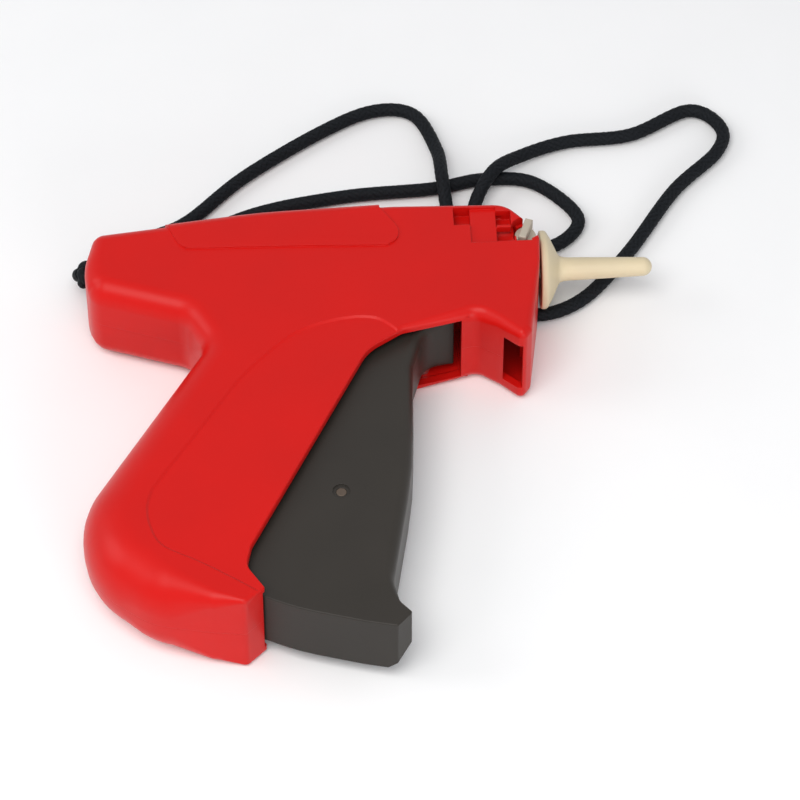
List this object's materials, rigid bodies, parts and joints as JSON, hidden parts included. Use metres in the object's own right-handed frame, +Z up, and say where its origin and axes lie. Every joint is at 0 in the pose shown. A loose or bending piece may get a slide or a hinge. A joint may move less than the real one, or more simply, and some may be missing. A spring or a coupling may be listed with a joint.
{
  "type": "garment_tag_attacher",
  "caption": "Red trigger-operated garment tag attacher with a dark grey trigger, a guarded hollow needle, a side lock knob and a braided wrist lanyard, lying on its side",
  "frame": {"origin": "on the table, below the middle of the tool without its lanyard", "axes": "+X along the needle towards its tip, +Y from the trigger's foot towards the top of the barrel, +Z up off the table, from the left side to the right side of the tool"},
  "size_m": [0.1942, 0.2091, 0.0296],
  "materials": {
    "casing": "satin moulded red plastic",
    "trigger_plastic": "satin dark grey plastic",
    "mechanism_plastic": "natural white acetal",
    "guard_plastic": "cream moulded plastic",
    "knob_plastic": "warm grey moulded plastic",
    "steel": "plain drawn steel",
    "cord_fabric": "braided near-black cord"
  },
  "bodies": {
    "casing": {"right_shell": "casing", "left_shell": "casing", "shell_screws": "steel", "trigger_pivot_pin": "steel", "lever_bracket": "steel", "fulcrum_pin": "steel", "return_spring": "steel", "slide_rails": "mechanism_plastic", "feed_axle": "steel", "pawl_pin": "steel", "pawl_spring": "steel", "clip_track": "mechanism_plastic", "cutter_blade": "steel", "needle": "steel", "needle_base": "mechanism_plastic", "lanyard_pin": "steel", "lanyard_knot": "cord_fabric", "lanyard_cord": "cord_fabric"},
    "trigger_lever": {"trigger": "trigger_plastic", "trigger_pin": "steel"},
    "rocker": {"drive_lever": "mechanism_plastic"},
    "ejector": {"ejector_slide": "mechanism_plastic", "slide_pin": "steel", "ejector_rod": "steel"},
    "wheel": {"feed_wheel": "mechanism_plastic"},
    "pawl": {"check_pawl": "knob_plastic"},
    "knob": {"lock_knob": "knob_plastic"},
    "guard": {"needle_guard": "guard_plastic"}
  },
  "joints": [
    {"name": "trigger_pull", "type": "hinge", "parent": "casing", "child": "trigger_lever", "pos_m": [0.014, 0.033, 0.0145], "axis": [0, 0, -1], "range_deg": [0, 17.5], "stiffness_Nm_per_rad": 1.2, "springref_deg": -5.73, "deforming": ["return_spring"]},
    {"name": "rocker_swing", "type": "hinge", "parent": "casing", "child": "rocker", "pos_m": [-0.0074, -0.0015, 0.0145], "axis": [0, 0, -1], "range_deg": [0, 45.4]},
    {"name": "ejector_travel", "type": "slide", "parent": "casing", "child": "ejector", "axis": [1, 0, 0], "range_m": [0, 0.0501]},
    {"name": "feed_turn", "type": "hinge", "parent": "casing", "child": "wheel", "pos_m": [0.0302, 0.0488, 0.0145], "axis": [0, 0, 1], "continuous": true},
    {"name": "pawl_lift", "type": "hinge", "parent": "casing", "child": "pawl", "pos_m": [0.032, 0.036, 0.0145], "axis": [0, 0, 1], "range_deg": [0, 10], "stiffness_Nm_per_rad": 0.01, "deforming": ["pawl_spring"]},
    {"name": "knob_turn", "type": "hinge", "parent": "casing", "child": "knob", "pos_m": [0.0444, 0.0616, 0.025], "axis": [0, 0, 1], "range_deg": [0, 90]},
    {"name": "guard_off", "type": "slide", "parent": "casing", "child": "guard", "axis": [1, 0, 0], "range_m": [0, 0.034], "deforming": ["lanyard_cord"]}
  ],
  "couplings": [
    {"joint": "rocker_swing", "follows": "trigger_pull", "ratio": 2.593},
    {"joint": "ejector_travel", "follows": "trigger_pull", "m_per_rad": 0.1637}
  ]
}
